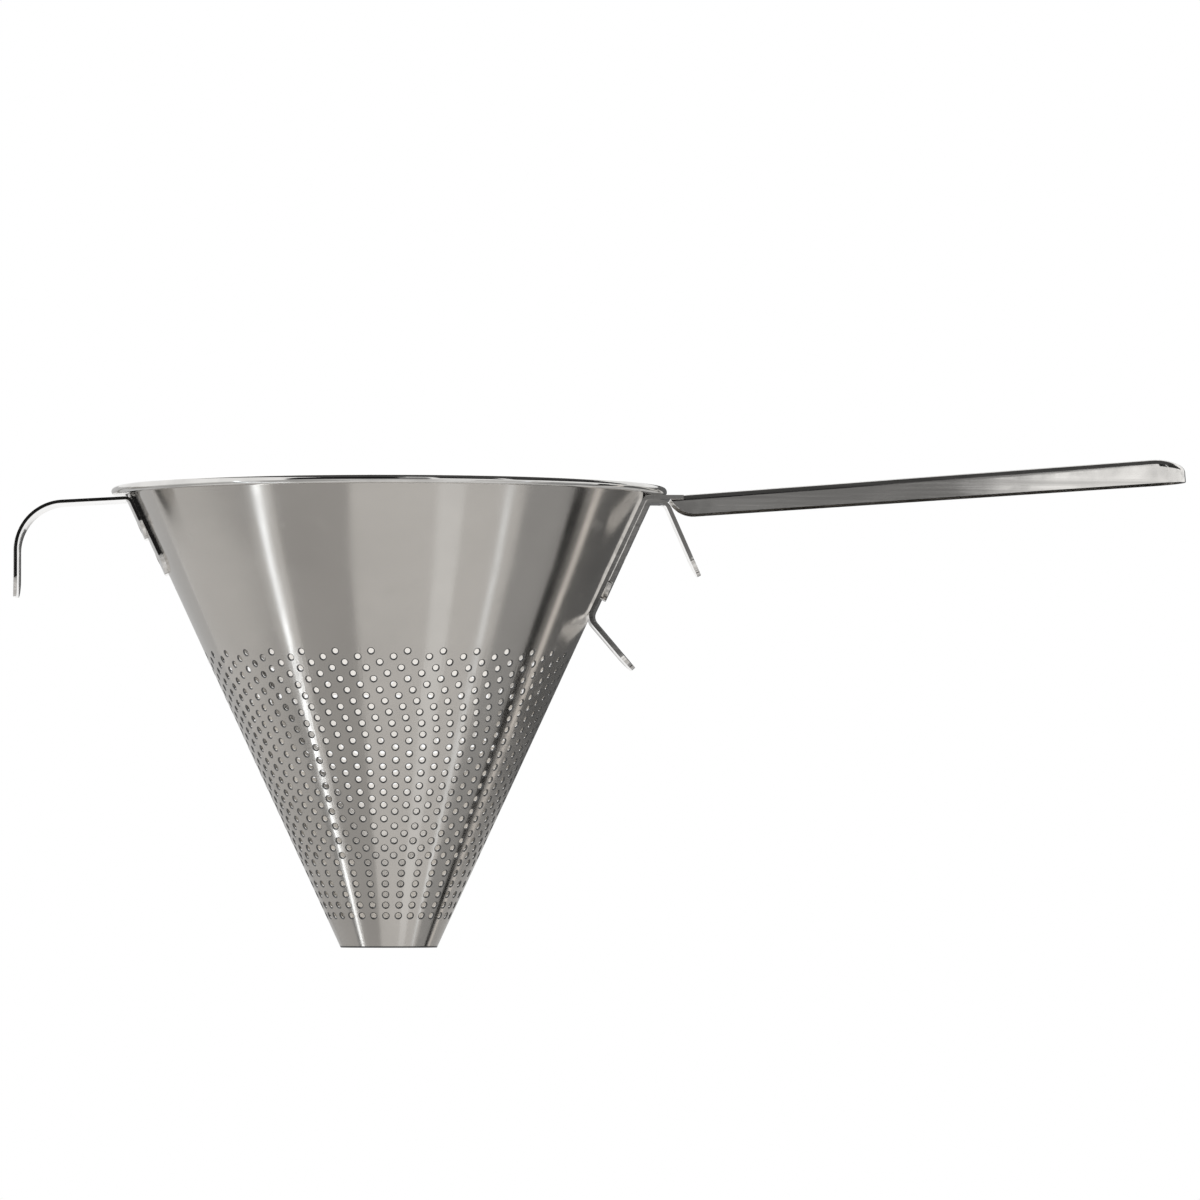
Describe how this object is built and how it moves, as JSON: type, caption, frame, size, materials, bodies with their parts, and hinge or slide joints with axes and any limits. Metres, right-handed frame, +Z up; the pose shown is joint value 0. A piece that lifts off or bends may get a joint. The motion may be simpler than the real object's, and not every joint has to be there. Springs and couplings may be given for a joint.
{
  "type": "chinois strainer",
  "caption": "Conical kitchen strainer of perforated steel sheet with a wired rim, a channel handle with two pot rests, and a bent hook that bears on a pot's rim.",
  "frame": {"origin": "on the cone's axis, in the plane of the stop strap's underside that bears on a pot's rim", "axes": "+Z up along the cone's axis, +X out along the handle, -X out to the pot hook"},
  "size_m": [0.4221, 0.2, 0.1752],
  "materials": {
    "brushed_sheet": "satin",
    "polished_strap": "polished",
    "rim_steel": "drawn",
    "weld_metal": "dull"
  },
  "bodies": {
    "root": {"cone_sheet": "brushed_sheet", "cone_seam_weld": "weld_metal", "rim_wire": "rim_steel", "base_disc": "brushed_sheet", "base_weld": "weld_metal", "handle": "polished_strap", "handle_leg_welds": "weld_metal", "pot_stop_strap": "polished_strap", "stop_strap_welds": "weld_metal", "front_backing_plate": "polished_strap", "backing_plate_welds": "weld_metal", "front_pot_hook": "polished_strap", "pot_hook_welds": "weld_metal"}
  },
  "joints": []
}
